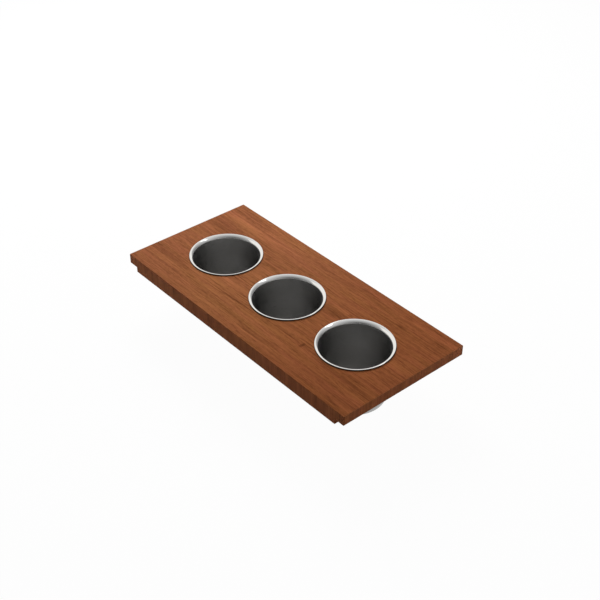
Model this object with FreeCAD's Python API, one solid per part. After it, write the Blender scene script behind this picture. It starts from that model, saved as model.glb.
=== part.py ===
"""Board for a sink with ledges, with three stainless containers dropped into it.

The board spans the sink from ledge to ledge. A rabbet across each end leaves a lip that lies on
the ledge, and the thicker middle drops between the two ledges. The board is glued up from staves
and then machined as one blank, so every stave is told apart from the finished blank. Each
container is spun from one sheet, hangs in its hole by a beaded rim and lifts straight out.

Millimetres. X runs along the board from lip to lip, Y along the ledges, Z up. The origin lies
midway between the lips at the level of the ledges, which is the underside of both lips.
"""

import FreeCAD, Part

import math
import os

from FreeCAD import Vector

# Board
BOARD_LENGTH = 444.5
BOARD_WIDTH = 203.2
LIP_THICKNESS = 14.3
RABBET_DEPTH = 7.9
RABBET_WIDTH = 15.5
LIP_CORNER_RADIUS = 0.8
SHOULDER_CORNER_RADIUS = 0.8
TOP_EDGE_RADIUS = 0.5
UNDER_EDGE_RADIUS = 0.5
HOLE_CHAMFER = 0.8
STAVES = ("front_stave", "front_inner_stave", "middle_stave", "rear_inner_stave", "rear_stave")

# Containers
CONTAINERS = ("left_container", "middle_container", "right_container")
END_DISTANCE = 89.85  # from either end of the board to the axis of the nearest container
HANGING_DEPTH = 83.5  # from the board's top down to the foot
SHEET = 0.6
RIM_DIAMETER = 103.6
BEAD_RADIUS = 0.85  # where the rim is rolled over and under, on the bead's outside
FLARE_RADIUS = 5.5  # the wide bend that turns the wall out into the rim, on its upper face
RIM_SLOPE = 10.0  # degrees, of the face where the flare runs into the bead
WALL_DRAFT = 2.75  # degrees
FOOT_RADIUS = 6.2  # where the wall turns in to the floor, on its upper face
HOLE_CLEARANCE = 0.3  # round the flare where it passes the board's top

# Levels
BOARD_TOP = LIP_THICKNESS
BOARD_UNDERSIDE = -RABBET_DEPTH
RIM_TOP = BOARD_TOP + 2 * BEAD_RADIUS
FOOT = BOARD_TOP - HANGING_DEPTH

SAME_PLACE = 1e-4  # two coordinates closer than this are the same


def point(radius, height):
    """A point or direction in a turned profile, which lies in the XZ plane."""
    return Vector(radius, 0, height)


UP = point(0, 1)
OUT = point(1, 0)


def bend(centre, radius, start, end, through=None):
    """The arc round a centre from one unit direction to another, the short way or through a third."""
    middle = through or (start + end).normalize()
    on_arc = [centre + direction * radius for direction in (start, middle, end)]
    return Part.Arc(*on_arc).toShape()


class ContainerProfile:
    """Section of a container: the two faces of its sheet, one sheet's thickness apart."""

    def __init__(self):
        draft = math.radians(WALL_DRAFT)
        slope = math.radians(RIM_SLOPE)
        self.off_wall = point(-math.cos(draft), math.sin(draft))  # square to the wall, inwards
        self.off_rim = point(-math.sin(slope), math.cos(slope))  # square to the slope, upwards

        # Each bend's centre lies on the line square to the sheet where two runs meet
        self.bead_centre = point(RIM_DIAMETER / 2 - BEAD_RADIUS, RIM_TOP - BEAD_RADIUS)
        self.flare_centre = self.bead_centre - self.off_rim * (FLARE_RADIUS - BEAD_RADIUS)
        self.wall_top = self.flare_centre + self.off_wall * FLARE_RADIUS

        foot_level = FOOT + SHEET + FOOT_RADIUS
        drop = self.wall_top.z + self.off_wall.z * FOOT_RADIUS - foot_level
        self.wall_bottom = self.wall_top - point(drop * math.tan(draft), drop)
        self.foot_centre = self.wall_bottom + self.off_wall * FOOT_RADIUS

    def face(self, depth):
        """The edges from the middle of the floor to the end of the bead, this deep in the sheet."""
        foot = FOOT_RADIUS + depth
        flare = FLARE_RADIUS - depth
        bead = BEAD_RADIUS - depth
        floor_edge = self.foot_centre - UP * foot
        return [
            Part.makeLine(point(0, floor_edge.z), floor_edge),
            bend(self.foot_centre, foot, UP * -1, self.off_wall * -1),
            Part.makeLine(self.wall_bottom - self.off_wall * depth, self.wall_top - self.off_wall * depth),
            bend(self.flare_centre, flare, self.off_wall, self.off_rim),
            bend(self.bead_centre, bead, self.off_rim, UP * -1, through=OUT),
        ]

    def section(self):
        """The closed section, on one side of the axis."""
        inside = self.face(0)
        outside = self.face(SHEET)
        floor_middle = [face[0].firstVertex().Point for face in (inside, outside)]
        cut_edge = [face[-1].lastVertex().Point for face in (inside, outside)]
        edges = inside + outside + [Part.makeLine(*floor_middle), Part.makeLine(*cut_edge)]
        return Part.Face(Part.Wire(Part.sortEdges(edges)[0]))

    def radius_at_board_top(self):
        """How far the under-face of the flare stands out where it passes the board's top."""
        height = BOARD_TOP - self.flare_centre.z
        under_face = FLARE_RADIUS - SHEET
        return self.flare_centre.x - math.sqrt(under_face**2 - height**2)


def make_container(profile, x):
    """One container, turned about its axis and set in its hole."""
    container = profile.section().revolve(Vector(0, 0, 0), Vector(0, 0, 1), 360)
    container.translate(Vector(x, 0, 0))
    return container


def container_places():
    """The X of each container's axis, evenly spaced between the outer two."""
    outermost = BOARD_LENGTH / 2 - END_DISTANCE
    pitch = 2 * outermost / (len(CONTAINERS) - 1)
    return [-outermost + i * pitch for i in range(len(CONTAINERS))]


def slab(length, width, bottom, top, corner_radius):
    """A flat block round the Z axis with its four upright corners rounded."""
    block = Part.makeBox(length, width, top - bottom, Vector(-length / 2, -width / 2, bottom))
    uprights = [e for e in block.Edges if e.BoundBox.XLength + e.BoundBox.YLength < SAME_PLACE]
    return block.makeFillet(corner_radius, uprights)


def edges_at(shape, height):
    """The edges of a shape that lie wholly at one height."""
    return [
        e
        for e in shape.Edges
        if abs(e.BoundBox.ZMin - height) < SAME_PLACE and abs(e.BoundBox.ZMax - height) < SAME_PLACE
    ]


def ease(shape, height, radius):
    """Rounds every edge that lies at one height."""
    return shape.makeFillet(radius, edges_at(shape, height))


def bore(blank, x, radius):
    """Bores the hole for one container and chamfers both of its mouths."""
    thickness = BOARD_TOP - BOARD_UNDERSIDE
    bored = blank.cut(Part.makeCylinder(radius, thickness, Vector(x, 0, BOARD_UNDERSIDE)))
    mouths = [
        e
        for height in (BOARD_TOP, BOARD_UNDERSIDE)
        for e in edges_at(bored, height)
        if isinstance(e.Curve, Part.Circle) and abs(e.Curve.Center.x - x) < SAME_PLACE
    ]
    return bored.makeChamfer(HOLE_CHAMFER, mouths)


def make_blank(hole_radius):
    """The whole machined board."""
    lips = slab(BOARD_LENGTH, BOARD_WIDTH, 0, BOARD_TOP, LIP_CORNER_RADIUS)
    lips = ease(lips, BOARD_TOP, TOP_EDGE_RADIUS)
    lips = ease(lips, 0, UNDER_EDGE_RADIUS)

    # The thick middle reaches half-way up into the lips' layer, so that the two fuse cleanly
    middle_length = BOARD_LENGTH - 2 * RABBET_WIDTH
    middle = slab(middle_length, BOARD_WIDTH, BOARD_UNDERSIDE, BOARD_TOP / 2, SHOULDER_CORNER_RADIUS)
    middle = ease(middle, BOARD_UNDERSIDE, UNDER_EDGE_RADIUS)

    blank = lips.fuse(middle).removeSplitter()
    for x in container_places():
        blank = bore(blank, x, hole_radius)
    return blank


def make_staves(blank):
    """The blank told apart along its glue lines, from the front edge to the rear one."""
    stave_width = BOARD_WIDTH / len(STAVES)
    thickness = BOARD_TOP - BOARD_UNDERSIDE
    staves = {}
    for i, name in enumerate(STAVES):
        glue_line = -BOARD_WIDTH / 2 + i * stave_width
        corner = Vector(-BOARD_LENGTH / 2, glue_line, BOARD_UNDERSIDE)
        staves[name] = blank.common(Part.makeBox(BOARD_LENGTH, stave_width, thickness, corner))
    return staves


def main():
    profile = ContainerProfile()
    parts = make_staves(make_blank(profile.radius_at_board_top() + HOLE_CLEARANCE))
    for name, x in zip(CONTAINERS, container_places()):
        parts[name] = make_container(profile, x)

    os.makedirs("parts", exist_ok=True)
    for name, shape in parts.items():
        shape.exportStep(f"parts/{name}.step")
        volume = shape.Volume / 1000
        print(f"{name}: {len(shape.Solids)} solid(s), {volume:.1f} cm3, valid {shape.isValid()}")


main()
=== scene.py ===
"""The looks of a sink board: oiled hardwood staves and three spun steel containers.

The staves keep their solids and take a wood finish. Each container is spun again as one fine
sheet, from the box of the solid that it stands for. Metres; X runs along the board, Z up.
"""

import math

import bmesh
import bpy
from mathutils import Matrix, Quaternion, Vector


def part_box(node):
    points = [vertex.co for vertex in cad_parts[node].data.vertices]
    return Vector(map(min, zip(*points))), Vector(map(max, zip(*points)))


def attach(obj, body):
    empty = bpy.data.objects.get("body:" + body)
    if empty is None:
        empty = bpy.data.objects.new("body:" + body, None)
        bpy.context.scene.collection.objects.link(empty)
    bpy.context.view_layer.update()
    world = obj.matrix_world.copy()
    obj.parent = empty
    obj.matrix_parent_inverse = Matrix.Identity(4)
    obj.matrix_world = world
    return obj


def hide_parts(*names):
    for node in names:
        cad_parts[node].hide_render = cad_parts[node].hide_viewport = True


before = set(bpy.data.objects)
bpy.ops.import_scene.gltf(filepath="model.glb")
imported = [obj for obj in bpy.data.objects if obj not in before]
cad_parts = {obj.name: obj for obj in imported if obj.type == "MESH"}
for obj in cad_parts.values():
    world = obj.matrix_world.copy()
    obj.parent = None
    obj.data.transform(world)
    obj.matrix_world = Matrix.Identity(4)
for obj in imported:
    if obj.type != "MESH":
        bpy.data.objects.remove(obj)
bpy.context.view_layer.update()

MM = 0.001

# The board: each stave, with how bright its wood is
STAVES = {
    "front_stave": 0.98,
    "front_inner_stave": 1.01,
    "middle_stave": 1.00,
    "rear_inner_stave": 0.985,
    "rear_stave": 1.02,
}
BOARD_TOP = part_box("middle_stave")[1].z
GRAIN_SHIFT = 7.3  # from one stave's grain to the next one's, in cells of its noise

# The containers, with the painted shade of the wall inside each one, lighter and darker copies of one
# finish
CONTAINER_SHADES = {"left_container": 1.03, "middle_container": 1.005, "right_container": 0.965}
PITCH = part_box("right_container")[1].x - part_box("middle_container")[1].x  # from axis to axis
SHEET = 0.6 * MM
RIM_SLOPE = math.radians(10)  # of the face where the flare runs into the bead
FLARE_RADIUS = 5.5 * MM  # where the wall turns out into the rim
FOOT_RADIUS = 6.2 * MM  # where the wall turns in to the floor
WALL_DRAFT = math.radians(2.75)
SHEET_EDGE = 0.1 * MM  # rounding of the sheet's cut edge
CUT_ANGLE = math.radians(60)  # a sharper corner than this is a cut edge
BEND_STEPS = 12
SPIN_STEPS = 160

# Steel, inside. Depths are below the rim's top
# The wall's colour at its foot and at its top: painted shade, darker down the wall where less light
# reaches
SHADED_WALL_FOOT = Vector((0.42, 0.416, 0.41))
FULL_WALL_SHADE_DEPTH = 60 * MM
WALL_TOP = Vector((0.71, 0.706, 0.70))
NO_WALL_SHADE_DEPTH = 6 * MM
WALL_ROUGHNESS = 0.28
SATIN_ROUGHNESS = 0.03  # how far the fine brushing spreads it
SATIN_STRETCH = 0.6  # of the gloss, by the brushing
SATIN_TURN = 0.25  # of that stretch, as a share of a full turn
RIM_COLOUR = (0.80, 0.80, 0.787, 1)
RIM_ROUGHNESS = 0.08
SHINE_DEPTH = 4.4 * MM  # where the rim's shine ends
FULL_SHINE_DEPTH = 1.1 * MM
# Painted shade along the bead's outermost line, for its contact shadow on the wood and the shadowed wood
# it mirrors: its colour, and how far in from that line the shade is full and has gone
BEAD_SHADE = (0.06, 0.058, 0.056, 1)
BEAD_SHADE_FULL = 0.2 * MM
BEAD_SHADE_END = 0.6 * MM

# Steel, outside
BRUSHED_DARK = (0.32, 0.32, 0.312, 1)
BRUSHED_LIGHT = (0.41, 0.41, 0.40, 1)
BRUSHED_RANGE = (0.3, 0.7)  # the brushing's noise, where those two colours are reached
BRUSHED_DEPTH = 0.02 * MM
OUTSIDE_ROUGHNESS = 0.30
BRUSHED_ROUGHNESS = 0.2  # how far the brushing spreads it

# Wood
DARK_GRAIN = Vector((0.115, 0.034, 0.0115))
BROWN_GRAIN = Vector((0.398, 0.139, 0.0468))
RED_GRAIN = Vector((0.402, 0.123, 0.0513))
REDNESS = (0.22, 0.78)  # the noise where the wood is at its brownest and where at its reddest
WOOD_GLOSS = 0.01
WOOD_ROUGHNESS = 0.46
STREAK_ROUGHNESS = 0.2  # how far the streaks spread it
PORE_ROUGHNESS = 0.1  # how much a pore adds to it
GRAIN_DEPTH = 0.05 * MM
PORE_DEPTH = 0.6  # in depths of the grain
PORES = (0.62, 0.75)  # the fibres' noise, where pores start and where they are full
# How far up or down a surface looks, where the grain of the faces starts and where it is full
FACES = (0.35, 0.75)
# The rounded edges start past the first of these and end at the second, on the same scale. They
# have a painted highlight along the ends, where a surface looks along the board, and painted shade at the
# front and rear
OFF_SIDES = (0.08, 0.35)
ON_TOP = (0.75, 0.995)
ALONG_ENDS = (0.1, 0.4)
EDGE_HIGHLIGHT = (0.50, 0.21, 0.095, 1)
EDGE_SHADE = (0.22, 0.075, 0.028, 1)
EDGE_PAINT = 0.5
# A painted sheen: the left end's colour next to the right end's, where along the board it is full and has
# gone, and how much of it the four sides have
PAINTED_SHEEN = (1.0, 1.09, 1.28, 1)
SHEEN_REACH = (-80 * MM, 190 * MM)
SHEEN_ON_SIDES = 0.45
# A painted highlight: the middle's colour next to both ends', and how far from its centre it is full and
# has gone.
# Towards the rear it loses a share of it
PAINTED_HIGHLIGHT = (1.12, 1.17, 1.06, 1)
HIGHLIGHT_CENTRE = -30 * MM
HIGHLIGHT_REACH = (30 * MM, 200 * MM)
REAR_REACH = (-60 * MM, 90 * MM)
REAR_LOSS = 0.7
# How far the grain wanders across the board
SWAY = 10 * MM
RIPPLE = 1.5 * MM
# How much each layer of the grain lightens or darkens the wood
BAND_SHADE = 0.5
STREAK_SHADE = 0.75
FLECK_SHADE = 0.5
FIBRE_SHADE = 1.05
LINE_SHADE = 0.12
HAIR_SHADE = 0.18
# The dark lines and the hairs follow the middle value of a noise, this far to either side of it
LINE_WIDTH = 0.035
HAIR_WIDTH = 0.05
HAIR_SHARE = 0.15  # of the face that lies in hairs
LINE_PRESENCE = (0.48, 0.62)  # a second noise, where the lines come in and where they are full
PRESENCE_LEVEL = 9.0  # that noise is the same at every height
# Long streaks of the figure: middle in x and y, half the length, half the width (mm), and how
# much lighter than the wood round it
FIGURE = (
    (-150, 70, 120, 8, 0.20),
    (-190, 42, 70, 14, -0.14),
    (-195, -56, 70, 12, -0.15),
    (-180, -71, 50, 6, 0.08),
    (-190, 3, 60, 12, 0.09),
    (-110, -23, 60, 6, -0.14),
    (-60, -34, 110, 6, 0.15),
    (-70, 6, 75, 18, 0.14),
    (70, 20, 110, 9, -0.16),
    (40, 84, 80, 9, -0.12),
    (60, -71, 110, 6, 0.11),
    (170, 6, 70, 10, 0.20),
    (185, 88, 50, 6, 0.12),
    (180, -52, 60, 12, -0.15),
    (30, -82, 60, 4, -0.12),
    (-186, 82, 3, 5, -0.16),
    (90, -53, 3, 6, -0.35),
    (144, 70, 12, 3, -0.30),
    (205, 82, 16, 7, -0.12),
    (85, 37, 5, 4, -0.22),
    (-86, 36, 5, 4, -0.22),
    (-38, -56, 44, 1.5, -0.30),
    (20, -57, 24, 4, -0.18),
    (185, -94, 18, 4, -0.15),
)

# The studio
FLOOR_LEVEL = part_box("middle_container")[0].z
FLOOR_SIZE = 12.0
FLOOR_COLOUR = (0.80, 0.80, 0.80, 1)
FLOOR_GLOW = 0.97  # how much of the floor's white doesn't need light
WHITE = (1, 1, 1, 1)
AMBIENT = 0.14  # the world's light on the wood and the floor
# What the steel shows: a grey ceiling that darkens to two sides, and a cream wall behind the board
CEILING = 0.83
DARK_SIDES = ((-58, 110, 1.0), (77, 64, 0.84))  # azimuth and reach in degrees, and depth
WALL = 1.04
WALL_AZIMUTH = math.radians(172)
WALL_SIDES = (math.radians(60), math.radians(68))  # how far round it fades from and has gone
WALL_RISE = (0.65, 0.82)  # the same upwards, as the sine of the elevation
CREAM = (1, 0.975, 0.945, 1)

# The camera
CAMERA_PLACE = Vector((0.92449, -0.77127, 0.89862))
CAMERA_TARGET = Vector((0.01564, 0.00879, 0.0143))
CAMERA_LENS = 67.5
CAMERA_SENSOR = 36.0


# Shaders


class Signal:
    """A number that a shader works out. Python's operators on it add Math nodes."""

    def __init__(self, nodes, socket):
        self.nodes = nodes
        self.socket = socket

    def __add__(self, other):
        return self.nodes.maths("ADD", self, other)

    def __radd__(self, other):
        return self.nodes.maths("ADD", other, self)

    def __sub__(self, other):
        return self.nodes.maths("SUBTRACT", self, other)

    def __rsub__(self, other):
        return self.nodes.maths("SUBTRACT", other, self)

    def __mul__(self, other):
        return self.nodes.maths("MULTIPLY", self, other)

    def __rmul__(self, other):
        return self.nodes.maths("MULTIPLY", other, self)

    def __truediv__(self, other):
        return self.nodes.maths("DIVIDE", self, other)

    def __pow__(self, other):
        return self.nodes.maths("POWER", self, other)

    def __abs__(self):
        return self.nodes.maths("ABSOLUTE", self)

    def squared(self):
        return self * self

    def either(self, other):
        """The higher of the two."""
        return self.nodes.maths("MAXIMUM", self, other)


class Nodes:
    """The nodes of one material or world."""

    def __init__(self, owner):
        owner.use_nodes = True
        self.tree = owner.node_tree
        self.tree.nodes.clear()

    def add(self, kind, settings=None, sockets=None):
        """A node of this type: its settings are made first, then its sockets' values or links."""
        node = self.tree.nodes.new(kind)
        for name, value in (settings or {}).items():
            setattr(node, name, value)
        for name, value in (sockets or {}).items():
            self.feed(node.inputs[name], value)
        return node

    def feed(self, socket, value):
        if isinstance(value, Signal):
            self.tree.links.new(value.socket, socket)
        elif isinstance(value, bpy.types.NodeSocket):
            self.tree.links.new(value, socket)
        else:
            socket.default_value = value

    def maths(self, operation, *values):
        node = self.add("ShaderNodeMath", {"operation": operation}, dict(enumerate(values)))
        return Signal(self, node.outputs[0])

    def coordinates(self, output):
        """One output of the texture coordinates, as a signal for each of X, Y and Z."""
        vector = self.add("ShaderNodeTexCoord").outputs[output]
        parts = self.add("ShaderNodeSeparateXYZ", sockets={0: vector}).outputs
        return [Signal(self, part) for part in parts]

    def noise(self, place, cells, shift=0.0, detail=2.0, roughness=0.5):
        """Noise from 0 to 1, so many cells to the metre along each axis, shifted along the first."""
        x, y, z = [part * count for part, count in zip(place, cells)]
        vector = self.add("ShaderNodeCombineXYZ", sockets={0: x + shift, 1: y, 2: z}).outputs[0]
        sockets = {"Vector": vector, "Scale": 1.0, "Detail": detail, "Roughness": roughness}
        return Signal(self, self.add("ShaderNodeTexNoise", sockets=sockets).outputs[0])

    def between(self, value, low, high):
        """0 where a signal is at low or under, 1 where it is at high or over, and smooth between."""
        settings = {"interpolation_type": "SMOOTHSTEP"}
        sockets = {"Value": value, "From Min": low, "From Max": high}
        return Signal(self, self.add("ShaderNodeMapRange", settings, sockets).outputs[0])

    def blend(self, amount, first, second, how="MIX"):
        """The first colour taken this far to the second, or to their product for MULTIPLY."""
        settings = {"data_type": "RGBA", "blend_type": how}
        return self.add("ShaderNodeMix", settings, {0: amount, 6: first, 7: second}).outputs[2]

    def bump(self, height, depth):
        """The normal of a surface that rises by this depth where the height is 1."""
        sockets = {"Height": height, "Strength": 1.0, "Distance": depth}
        return self.add("ShaderNodeBump", sockets=sockets).outputs[0]

    def surface(self, sockets):
        """Ends a material in a Principled shader with these values."""
        self.finish(self.add("ShaderNodeBsdfPrincipled", sockets=sockets).outputs[0])

    def finish(self, shader, output="ShaderNodeOutputMaterial"):
        self.add(output, sockets={"Surface": shader})


def colour(values):
    """The same colour with its alpha."""
    return (*values, 1)


def wood(name, shift, tone_or_shade):
    """Reddish-brown oiled hardwood. Shift moves the grain and tone is the stave's own brightness."""
    material = bpy.data.materials.new(name)
    nodes = Nodes(material)
    x, y, z = nodes.coordinates("Object")
    normal = nodes.coordinates("Normal")
    on_face = nodes.between(abs(normal[2]), *FACES)

    place = (x, y + wander(nodes, x, y, shift), z)
    streaks = nodes.noise(place, (7, 330, 200), shift, detail=3.0, roughness=0.6)
    fibres = nodes.noise(place, (22, 1200, 700), shift)
    along = face_grain(nodes, place, shift, streaks, fibres)
    upright = side_grain(nodes, x + y, z, shift)
    grain = upright + (along - upright) * on_face
    pores = nodes.between(fibres, *PORES) * on_face

    base = grain_colour(nodes, place, shift, grain, tone_or_shade)
    # Painted sheen and painted highlight on the wood
    base = with_painted_sheen(nodes, x, y, on_face, base)
    # The rounded edges take painted highlight and painted shade
    nodes.surface({
        "Base Color": painted_edge_light(nodes, normal, base),
        "Roughness": WOOD_ROUGHNESS + (streaks - 0.5) * STREAK_ROUGHNESS + pores * PORE_ROUGHNESS,
        "Specular IOR Level": WOOD_GLOSS,
        "Normal": nodes.bump(grain - pores * PORE_DEPTH, GRAIN_DEPTH),
    })
    return material


def wander(nodes, x, y, shift):
    """How far the grain lies aside of straight."""
    sway = nodes.noise((x, y, 0.0), (6, 16, 0), shift, detail=1.0) - 0.5
    ripple = nodes.noise((x, y, 0.0), (45, 90, 0), shift) - 0.5
    return sway * SWAY + ripple * RIPPLE


def face_grain(nodes, place, shift, streaks, fibres):
    """Light and dark along the board, on both faces."""
    x, across, _ = place
    bands = nodes.noise(place, (3.5, 75, 40), shift)
    flecks = nodes.noise(place, (180, 520, 250), shift)
    grain = (bands - 0.5) * BAND_SHADE + (streaks - 0.5) * STREAK_SHADE + (flecks - 0.5) * FLECK_SHADE
    grain = grain + (fibres - 0.5) * FIBRE_SHADE + figure(x, across)

    # Thin dark lines that come and go, and finer hairs
    presence = nodes.noise((x, across, PRESENCE_LEVEL), (18, 60, 1), shift, detail=1.0)
    lines = contour(nodes, nodes.noise(place, (7, 150, 90), -shift, detail=1.0), LINE_WIDTH)
    lines = lines * nodes.between(presence, *LINE_PRESENCE)
    hairs = contour(nodes, nodes.noise(place, (15, 360, 90), shift, detail=1.0), HAIR_WIDTH)
    return grain - lines * LINE_SHADE - (hairs - HAIR_SHARE) * HAIR_SHADE


def contour(nodes, field, width):
    """A soft line where a noise field passes 0.5."""
    return 1 - nodes.between(abs(field - 0.5), 0.0, width)


def figure(x, across):
    """The long streaks, each a soft ellipse."""
    total = 0
    for middle_x, middle_y, half_length, half_width, lighter in FIGURE:
        along = (x - middle_x * MM) / (half_length * MM)
        aside = (across - middle_y * MM) / (half_width * MM)
        total = total + (1 - along.squared() - aside.squared()).either(0) * lighter
    return total


def side_grain(nodes, round_board, z, shift):
    """Light and dark that run upright on the four sides. The second value changes along each."""
    bands = nodes.noise((round_board, z, 0.0), (90, 8, 0), shift)
    streaks = nodes.noise((round_board, z, 0.0), (480, 22, 0), shift, detail=3.0)
    return (bands - 0.5) + (streaks - 0.5)


def grain_colour(nodes, place, shift, grain, tone_or_shade):
    """From dark grain to light, which is browner here and redder there."""
    redness = nodes.noise(place, (9, 70, 60), shift, detail=3.0, roughness=0.6)
    brown = colour(BROWN_GRAIN * tone_or_shade)
    red = colour(RED_GRAIN * tone_or_shade)
    light = nodes.blend(nodes.between(redness, *REDNESS), brown, red)
    return nodes.blend(0.5 + grain, colour(DARK_GRAIN * tone_or_shade), light)


def with_painted_sheen(nodes, x, y, on_face, base):
    """A painted sheen, whiter towards the left end and in part on the sides, and a painted highlight,
    paler in the middle of the faces.
    """
    # Painted sheen: whiter towards the left end, and a share of it on the sides
    sheen_share = (1 - nodes.between(x, *SHEEN_REACH)) * on_face + (1 - on_face) * SHEEN_ON_SIDES
    # Painted highlight: paler in the middle of the faces, less of it towards the rear
    highlight_share = 1 - nodes.between(abs(x - HIGHLIGHT_CENTRE), *HIGHLIGHT_REACH)
    highlight_share = highlight_share * (1 - nodes.between(y, *REAR_REACH) * REAR_LOSS)
    base = nodes.blend(sheen_share, base, PAINTED_SHEEN, how="MULTIPLY")
    return nodes.blend(highlight_share * on_face, base, PAINTED_HIGHLIGHT, how="MULTIPLY")


def painted_edge_light(nodes, normal, base):
    """The wood's colour, with a painted highlight on its rounded edges along the ends and painted shade on
    those at the front and rear.
    """
    facing = abs(normal[2])
    on_edge = nodes.between(facing, *OFF_SIDES) * (1 - nodes.between(facing, *ON_TOP))
    at_end = nodes.between(abs(normal[0]), *ALONG_ENDS)
    # Painted highlight on the edges along the ends, painted shade on those at the front and rear
    edge = nodes.blend(at_end, EDGE_SHADE, EDGE_HIGHLIGHT)
    return nodes.blend(on_edge * EDGE_PAINT, base, edge)


def satin_steel(name, rim_radius, rim_top, tone_or_shade):
    """A container's inside: bright round the rim, satin down the wall, with painted shade towards its foot
    and a painted dark line on the bead's outer edge. The wall's painted shade for this container is
    tone_or_shade.
    """
    material = bpy.data.materials.new(name)
    nodes = Nodes(material)
    x, y, z = nodes.coordinates("Object")
    # Painted shade: the wall darkens towards its foot, where less light reaches
    height = nodes.between(z, rim_top - FULL_WALL_SHADE_DEPTH, rim_top - NO_WALL_SHADE_DEPTH)
    wall = nodes.blend(height, colour(SHADED_WALL_FOOT * tone_or_shade), colour(WALL_TOP * tone_or_shade))
    shine = nodes.between(z, rim_top - SHINE_DEPTH, rim_top - FULL_SHINE_DEPTH)
    from_axis_x = nodes.maths("WRAP", x, PITCH / 2, -PITCH / 2)
    from_axis = (from_axis_x.squared() + y.squared()) ** 0.5
    # Painted shade: a dark line round the bead's outermost edge
    painted_bead_shade = nodes.between(from_axis, rim_radius - BEAD_SHADE_END, rim_radius - BEAD_SHADE_FULL)
    brushing = nodes.noise((x, y, z), (60, 60, 5000))
    roughness = WALL_ROUGHNESS + shine * (RIM_ROUGHNESS - WALL_ROUGHNESS)
    nodes.surface({
        "Base Color": nodes.blend(painted_bead_shade, nodes.blend(shine, wall, RIM_COLOUR), BEAD_SHADE),
        "Metallic": 1.0,
        "Roughness": roughness + (brushing - 0.5) * SATIN_ROUGHNESS,
        "Anisotropic": SATIN_STRETCH,
        "Anisotropic Rotation": SATIN_TURN,
    })
    return material


def plain_steel():
    """The outside of a container, brushed round and round."""
    material = bpy.data.materials.new("brushed steel outside")
    nodes = Nodes(material)
    place = nodes.coordinates("Object")
    brushing = nodes.noise(place, (25, 25, 1900), detail=3.0, roughness=0.6)
    nodes.surface({
        "Base Color": nodes.blend(nodes.between(brushing, *BRUSHED_RANGE), BRUSHED_DARK, BRUSHED_LIGHT),
        "Metallic": 1.0,
        "Roughness": OUTSIDE_ROUGHNESS + (brushing - 0.5) * BRUSHED_ROUGHNESS,
        "Normal": nodes.bump(brushing, BRUSHED_DEPTH),
    })
    return material


def floor_finish():
    """White to the camera and in the steel, with the board's shadow, and open from below."""
    material = bpy.data.materials.new("pale floor")
    nodes = Nodes(material)
    matt = nodes.add("ShaderNodeBsdfDiffuse", sockets={"Color": FLOOR_COLOUR}).outputs[0]
    glow = nodes.add("ShaderNodeEmission", sockets={"Color": WHITE, "Strength": 1.0}).outputs[0]
    top = nodes.add("ShaderNodeMixShader", sockets={0: seen(nodes) * FLOOR_GLOW, 1: matt, 2: glow})
    below = nodes.add("ShaderNodeNewGeometry").outputs["Backfacing"]
    clear = nodes.add("ShaderNodeBsdfTransparent").outputs[0]
    sockets = {0: below, 1: top.outputs[0], 2: clear}
    nodes.finish(nodes.add("ShaderNodeMixShader", sockets=sockets).outputs[0])
    return material


def seen(nodes):
    """1 for what the camera sees, straight or in a reflection or through glass."""
    rays = nodes.add("ShaderNodeLightPath").outputs
    straight = Signal(nodes, rays["Is Camera Ray"])
    mirrored = Signal(nodes, rays["Is Glossy Ray"])
    through = Signal(nodes, rays["Is Transmission Ray"])
    return straight.either(mirrored).either(through)


# Pieces


class SheetLine:
    """The line of a container's inner face, drawn with one moving tip in the XZ plane."""

    def __init__(self, start):
        self.shape = bmesh.new()
        self.tip = self.shape.verts.new(start)

    def straight(self, end):
        made = bmesh.ops.extrude_vert_indiv(self.shape, verts=[self.tip])
        self.tip = made["verts"][0]
        self.tip.co = end

    def bend(self, centre, angle):
        """Turns the tip about a centre; a positive angle turns it from upright towards outward."""
        made = bmesh.ops.spin(
            self.shape, geom=[self.tip], cent=centre, axis=(0, 1, 0), angle=angle, steps=BEND_STEPS
        )
        self.tip = made["geom_last"][0]


def sheet_line(rim_radius, rim_top, floor_level):
    """From the middle of the floor up the wall and over the rim's bead to where it rests on the wood."""
    square = math.pi / 2
    bead_radius = (rim_top - BOARD_TOP) / 2
    in_from_wall = Vector((-math.cos(WALL_DRAFT), 0, math.sin(WALL_DRAFT)))
    off_slope = Vector((-math.sin(RIM_SLOPE), 0, math.cos(RIM_SLOPE)))
    bead_centre = Vector((rim_radius - bead_radius, 0, rim_top - bead_radius))
    flare_centre = bead_centre + off_slope * (bead_radius - FLARE_RADIUS)
    wall_top = flare_centre + in_from_wall * FLARE_RADIUS

    drop = wall_top.z - floor_level - FOOT_RADIUS * (1 - in_from_wall.z)
    wall_foot = wall_top - Vector((drop * math.tan(WALL_DRAFT), 0, drop))
    foot_centre = wall_foot + in_from_wall * FOOT_RADIUS

    line = SheetLine((0, 0, floor_level))
    line.straight((foot_centre.x, 0, floor_level))
    line.bend(foot_centre, WALL_DRAFT - square)
    line.straight(wall_top)
    line.bend(flare_centre, square - WALL_DRAFT - RIM_SLOPE)
    line.bend(bead_centre, RIM_SLOPE + math.pi)
    return line.shape


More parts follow.
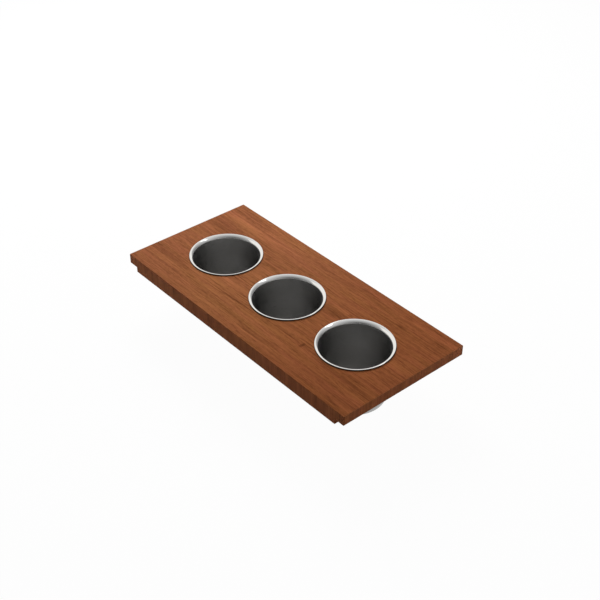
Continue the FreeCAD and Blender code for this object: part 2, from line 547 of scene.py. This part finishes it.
def steel_container(node, materials):
    """One container, spun from the line of the face that shows and given its sheet's thickness."""
    low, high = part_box(node)
    shape = sheet_line((high.x - low.x) / 2, high.z, low.z + SHEET)
    bmesh.ops.spin(
        shape,
        geom=shape.verts[:] + shape.edges[:],
        cent=(0, 0, 0),
        axis=(0, 0, 1),
        angle=2 * math.pi,
        steps=SPIN_STEPS,
        use_merge=True,
    )
    bmesh.ops.remove_doubles(shape, verts=shape.verts, dist=SHEET / 100)
    bmesh.ops.recalc_face_normals(shape, faces=shape.faces)
    floor_middle = min(shape.faces, key=lambda face: face.calc_center_median().xy.length)
    if floor_middle.normal.z < 0:
        bmesh.ops.reverse_faces(shape, faces=shape.faces)
    bmesh.ops.translate(shape, verts=shape.verts, vec=((low.x + high.x) / 2, (low.y + high.y) / 2, 0))
    piece = made_piece(f"{node}_spun", shape, materials)

    sheet = piece.modifiers.new("sheet", "SOLIDIFY")
    sheet.thickness = SHEET
    sheet.offset = -1
    sheet.use_even_offset = True
    sheet.material_offset = 1
    sheet.material_offset_rim = 1
    edge = piece.modifiers.new("cut edge", "BEVEL")
    edge.width = SHEET_EDGE
    edge.segments = 2
    edge.limit_method = "ANGLE"
    edge.angle_limit = CUT_ANGLE
    return piece


def made_piece(name, shape, materials):
    """A smooth object of a finished mesh."""
    mesh = bpy.data.meshes.new(name)
    for face in shape.faces:
        face.smooth = True
    shape.to_mesh(mesh)
    shape.free()
    for material in materials:
        mesh.materials.append(material)
    piece = bpy.data.objects.new(name, mesh)
    bpy.context.scene.collection.objects.link(piece)
    return piece


def dress_staves():
    """Each stave has its own run of grain and is a shade lighter or darker than its neighbours."""
    for i, (stave, tone_or_shade) in enumerate(STAVES.items()):
        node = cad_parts[stave]
        finish = wood(f"oiled wood {stave}".replace("_", " "), GRAIN_SHIFT * i, tone_or_shade)
        for slot in node.material_slots:
            slot.material = finish


def place_containers():
    """Each container's inside wall takes its own painted shade, a little darker from left to right."""
    outside = plain_steel()
    for name, tone_or_shade in CONTAINER_SHADES.items():
        low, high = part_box(name)
        finish = f"satin steel inside {name}".replace("_", " ")
        # The wall takes this container's painted shade
        inside = satin_steel(finish, (high.x - low.x) / 2, high.z, tone_or_shade)
        piece = steel_container(name, [inside, outside])
        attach(piece, name)
        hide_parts(name)


# Studio


def lay_floor():
    """A wide floor under the containers' feet."""
    shape = bmesh.new()
    bmesh.ops.create_grid(shape, x_segments=1, y_segments=1, size=FLOOR_SIZE / 2)
    bmesh.ops.translate(shape, verts=shape.verts, vec=(0, 0, FLOOR_LEVEL))
    made_piece("floor", shape, [floor_finish()])


def light_world():
    """White to the camera, dim on the wood, and a ceiling and a wall in the steel."""
    world = bpy.data.worlds.new("studio")
    bpy.context.scene.world = world
    nodes = Nodes(world)
    x, y, z = nodes.coordinates("Generated")
    ceiling = grey_ceiling(nodes, x, y)
    wall = back_wall(nodes, x, y, z)
    mirrored = Signal(nodes, nodes.add("ShaderNodeLightPath").outputs["Is Glossy Ray"])
    strength = AMBIENT + seen(nodes) * (1 - AMBIENT)
    strength = strength - mirrored * (1 - ceiling - (WALL - ceiling) * wall)
    sockets = {"Color": nodes.blend(wall * mirrored, WHITE, CREAM), "Strength": strength}
    background = nodes.add("ShaderNodeBackground", sockets=sockets)
    nodes.finish(background.outputs[0], "ShaderNodeOutputWorld")


def grey_ceiling(nodes, x, y):
    """How bright the ceiling is in the steel, in the direction that has this x and y."""
    bright = CEILING
    for azimuth, reach, depth in DARK_SIDES:
        towards = x * math.cos(math.radians(azimuth)) + y * math.sin(math.radians(azimuth))
        away = nodes.maths("ARCCOSINE", towards) / math.radians(reach)
        bright = bright * (1 - (1 - away).either(0) * depth)
    return bright


def back_wall(nodes, x, y, z):
    """1 in the directions of the wall behind the board."""
    ahead = x * math.cos(WALL_AZIMUTH) + y * math.sin(WALL_AZIMUTH)
    aside = y * math.cos(WALL_AZIMUTH) - x * math.sin(WALL_AZIMUTH)
    off_middle = abs(nodes.maths("ARCTAN2", aside, ahead))
    return (1 - nodes.between(off_middle, *WALL_SIDES)) * (1 - nodes.between(z, *WALL_RISE))


def softbox(name, direction, distance, size, power, roll=0, on_steel=True, on_wood=True):
    """An area lamp in this direction, an azimuth and an elevation, that faces the board.

    It lights the steel, the wood or both.
    """
    turn, rise = [math.radians(angle) for angle in direction]
    flat = math.cos(rise)
    towards = Vector((flat * math.cos(turn), flat * math.sin(turn), math.sin(rise)))
    lamp = bpy.data.lights.new(name, "AREA")
    lamp.shape = "RECTANGLE"
    lamp.size, lamp.size_y = size
    lamp.energy = power
    holder = bpy.data.objects.new(name, lamp)
    holder.visible_glossy = on_steel
    holder.visible_diffuse = on_wood
    holder.location = towards * distance
    facing = towards.to_track_quat("Z", "Y") @ Quaternion((0, 0, 1), math.radians(roll))
    holder.rotation_euler = facing.to_euler()
    bpy.context.scene.collection.objects.link(holder)


def light_studio():
    """Three soft lamps for the wood, and one for the steel alone."""
    light_world()
    softbox("key", direction=(150, 36), distance=1.4, size=(0.7, 0.7), power=25, on_steel=False)
    softbox("side fill", direction=(240, 16), distance=1.6, size=(0.8, 0.8), power=1.75, on_steel=False)
    softbox("end strip", direction=(35, 25), distance=1.5, size=(0.5, 1.1), power=4.8, on_steel=False)
    softbox("strip", direction=(76, 57), distance=1.5, size=(1.4, 0.22), power=1.1, roll=12, on_wood=False)


def set_camera():
    """A long lens that looks down over the board's right front corner."""
    camera = bpy.data.objects.new("camera", bpy.data.cameras.new("camera"))
    camera.data.lens = CAMERA_LENS
    camera.data.sensor_width = CAMERA_SENSOR
    camera.location = CAMERA_PLACE
    camera.rotation_euler = (CAMERA_TARGET - CAMERA_PLACE).to_track_quat("-Z", "Y").to_euler()
    bpy.context.scene.collection.objects.link(camera)
    bpy.context.scene.camera = camera


dress_staves()
place_containers()
lay_floor()
light_studio()
set_camera()
bpy.context.scene.view_settings.view_transform = "Standard"
